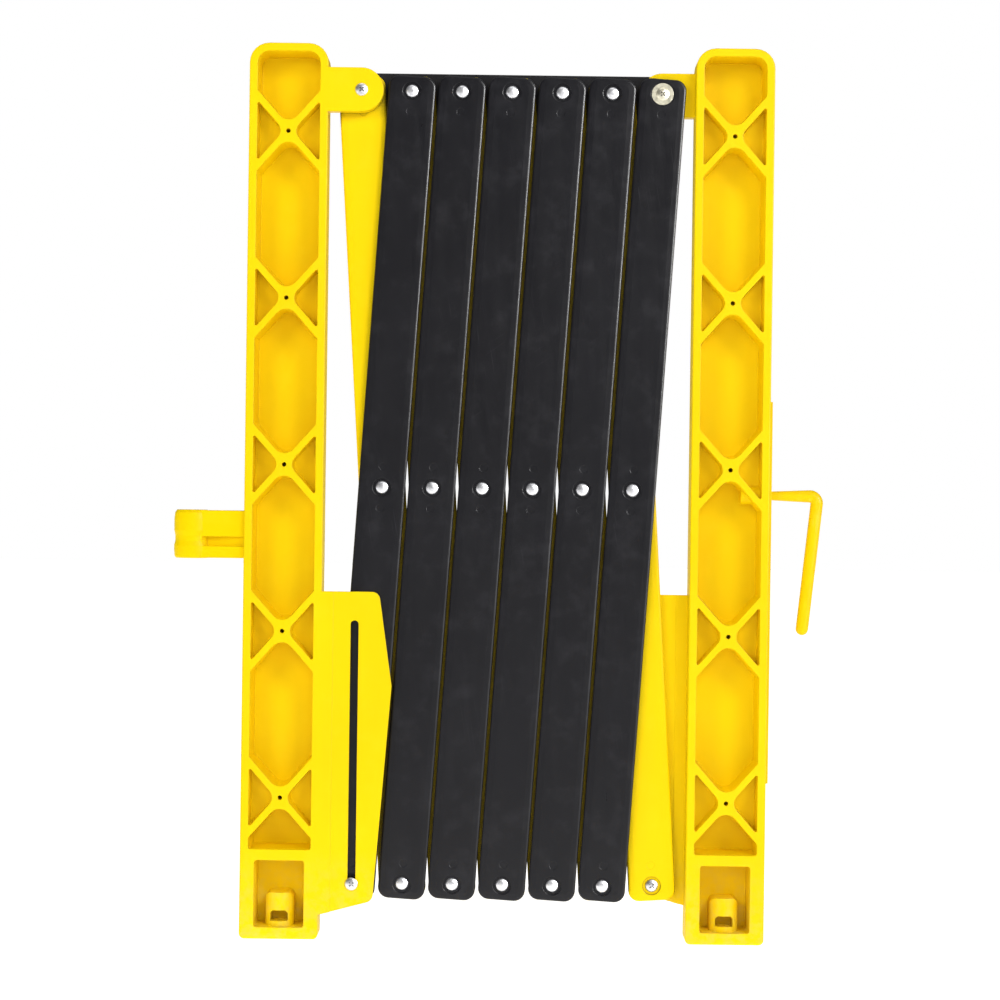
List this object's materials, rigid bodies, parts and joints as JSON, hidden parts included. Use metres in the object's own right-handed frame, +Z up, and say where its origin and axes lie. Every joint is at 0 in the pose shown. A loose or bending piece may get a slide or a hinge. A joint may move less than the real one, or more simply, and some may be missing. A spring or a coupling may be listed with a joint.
{
  "type": "folding lattice barrier",
  "caption": "Folding lattice barrier of black and yellow riveted slats between two hollow plastic end posts, with a hook and a socket to join units; shown folded.",
  "frame": {"origin": "on the floor, at the centre of the folded barrier's footprint", "axes": "+X from the left post to the right post, +Z up, -Y out of the open faces of the posts"},
  "size_m": [0.728, 0.0471, 1],
  "materials": {
    "post_yellow": "moulded satin",
    "slat_black": "moulded satin",
    "slat_yellow": "moulded satin",
    "rivet": "satin",
    "screw": "zinc plated",
    "keeper_black": "moulded satin",
    "socket_yellow": "moulded gloss",
    "hook_yellow": "powder coated"
  },
  "bodies": {
    "left_post": {"left_post": "post_yellow", "left_ear_screw": "screw", "coupling_socket": "socket_yellow"},
    "rear_slat_1": {"rear_slat_1": "slat_yellow"},
    "front_slat_1": {"front_slat_1": "slat_black", "rivets_1": "rivet", "left_guide_pin": "screw"},
    "rear_slat_2": {"rear_slat_2": "slat_yellow"},
    "front_slat_2": {"front_slat_2": "slat_black", "rivets_2": "rivet"},
    "rear_slat_3": {"rear_slat_3": "slat_yellow"},
    "front_slat_3": {"front_slat_3": "slat_black", "rivets_3": "rivet"},
    "rear_slat_4": {"rear_slat_4": "slat_yellow"},
    "front_slat_4": {"front_slat_4": "slat_black", "rivets_4": "rivet"},
    "rear_slat_5": {"rear_slat_5": "slat_yellow"},
    "front_slat_5": {"front_slat_5": "slat_black", "rivets_5": "rivet"},
    "rear_slat_6": {"rear_slat_6": "slat_yellow", "right_guide_pin": "screw"},
    "front_slat_6": {"front_slat_6": "slat_black", "rivets_6": "rivet"},
    "right_post": {"right_post": "post_yellow", "right_ear_screw": "screw"},
    "keeper_bar": {"keeper_bar": "keeper_black"},
    "hook_rod": {"hook_rod": "hook_yellow"}
  },
  "joints": [
    {"name": "lattice_open", "type": "hinge", "parent": "left_post", "child": "rear_slat_1", "pos_m": [-0.159, 0.00045, 0.949], "axis": [0, -1, 0], "range_deg": [0, 44]},
    {"name": "mid_pivot_1", "type": "hinge", "parent": "rear_slat_1", "child": "front_slat_1", "pos_m": [-0.131, -0.0048, 0.50588], "axis": [0, -1, 0], "range_deg": [-88, 0]},
    {"name": "low_pivot_1", "type": "hinge", "parent": "rear_slat_1", "child": "front_slat_2", "pos_m": [-0.103, -0.0048, 0.06277], "axis": [0, -1, 0], "range_deg": [-88, 0]},
    {"name": "mid_pivot_2", "type": "hinge", "parent": "front_slat_2", "child": "rear_slat_2", "pos_m": [-0.075, -0.0048, 0.50588], "axis": [0, -1, 0], "range_deg": [0, 88]},
    {"name": "top_pivot_2", "type": "hinge", "parent": "front_slat_2", "child": "rear_slat_3", "pos_m": [-0.047, -0.0048, 0.949], "axis": [0, -1, 0], "range_deg": [0, 88]},
    {"name": "mid_pivot_3", "type": "hinge", "parent": "rear_slat_3", "child": "front_slat_3", "pos_m": [-0.019, -0.0048, 0.50588], "axis": [0, -1, 0], "range_deg": [-88, 0]},
    {"name": "low_pivot_3", "type": "hinge", "parent": "rear_slat_3", "child": "front_slat_4", "pos_m": [0.009, -0.0048, 0.06277], "axis": [0, -1, 0], "range_deg": [-88, 0]},
    {"name": "mid_pivot_4", "type": "hinge", "parent": "front_slat_4", "child": "rear_slat_4", "pos_m": [0.037, -0.0048, 0.50588], "axis": [0, -1, 0], "range_deg": [0, 88]},
    {"name": "top_pivot_4", "type": "hinge", "parent": "front_slat_4", "child": "rear_slat_5", "pos_m": [0.065, -0.0048, 0.949], "axis": [0, -1, 0], "range_deg": [0, 88]},
    {"name": "mid_pivot_5", "type": "hinge", "parent": "rear_slat_5", "child": "front_slat_5", "pos_m": [0.093, -0.0048, 0.50588], "axis": [0, -1, 0], "range_deg": [-88, 0]},
    {"name": "low_pivot_5", "type": "hinge", "parent": "rear_slat_5", "child": "front_slat_6", "pos_m": [0.121, -0.0048, 0.06277], "axis": [0, -1, 0], "range_deg": [-88, 0]},
    {"name": "mid_pivot_6", "type": "hinge", "parent": "front_slat_6", "child": "rear_slat_6", "pos_m": [0.149, -0.0048, 0.50588], "axis": [0, -1, 0], "range_deg": [0, 88]},
    {"name": "right_post_pivot", "type": "hinge", "parent": "front_slat_6", "child": "right_post", "pos_m": [0.177, -0.0048, 0.949], "axis": [0, -1, 0], "range_deg": [0, 44]},
    {"name": "keeper_swing", "type": "hinge", "parent": "right_post", "child": "keeper_bar", "pos_m": [0.177, 0.01365, 0.949], "axis": [0, 1, 0], "range_deg": [0, 88]},
    {"name": "hook_swivel", "type": "hinge", "parent": "right_post", "child": "hook_rod", "pos_m": [0.302, 0.0016, 0.502], "axis": [1, 0, 0], "continuous": true}
  ],
  "couplings": [
    {"joint": "mid_pivot_1", "follows": "lattice_open", "ratio": -2},
    {"joint": "low_pivot_1", "follows": "lattice_open", "ratio": -2},
    {"joint": "mid_pivot_2", "follows": "lattice_open", "ratio": 2},
    {"joint": "top_pivot_2", "follows": "lattice_open", "ratio": 2},
    {"joint": "mid_pivot_3", "follows": "lattice_open", "ratio": -2},
    {"joint": "low_pivot_3", "follows": "lattice_open", "ratio": -2},
    {"joint": "mid_pivot_4", "follows": "lattice_open", "ratio": 2},
    {"joint": "top_pivot_4", "follows": "lattice_open", "ratio": 2},
    {"joint": "mid_pivot_5", "follows": "lattice_open", "ratio": -2},
    {"joint": "low_pivot_5", "follows": "lattice_open", "ratio": -2},
    {"joint": "mid_pivot_6", "follows": "lattice_open", "ratio": 2},
    {"joint": "right_post_pivot", "follows": "lattice_open", "ratio": 1}
  ]
}
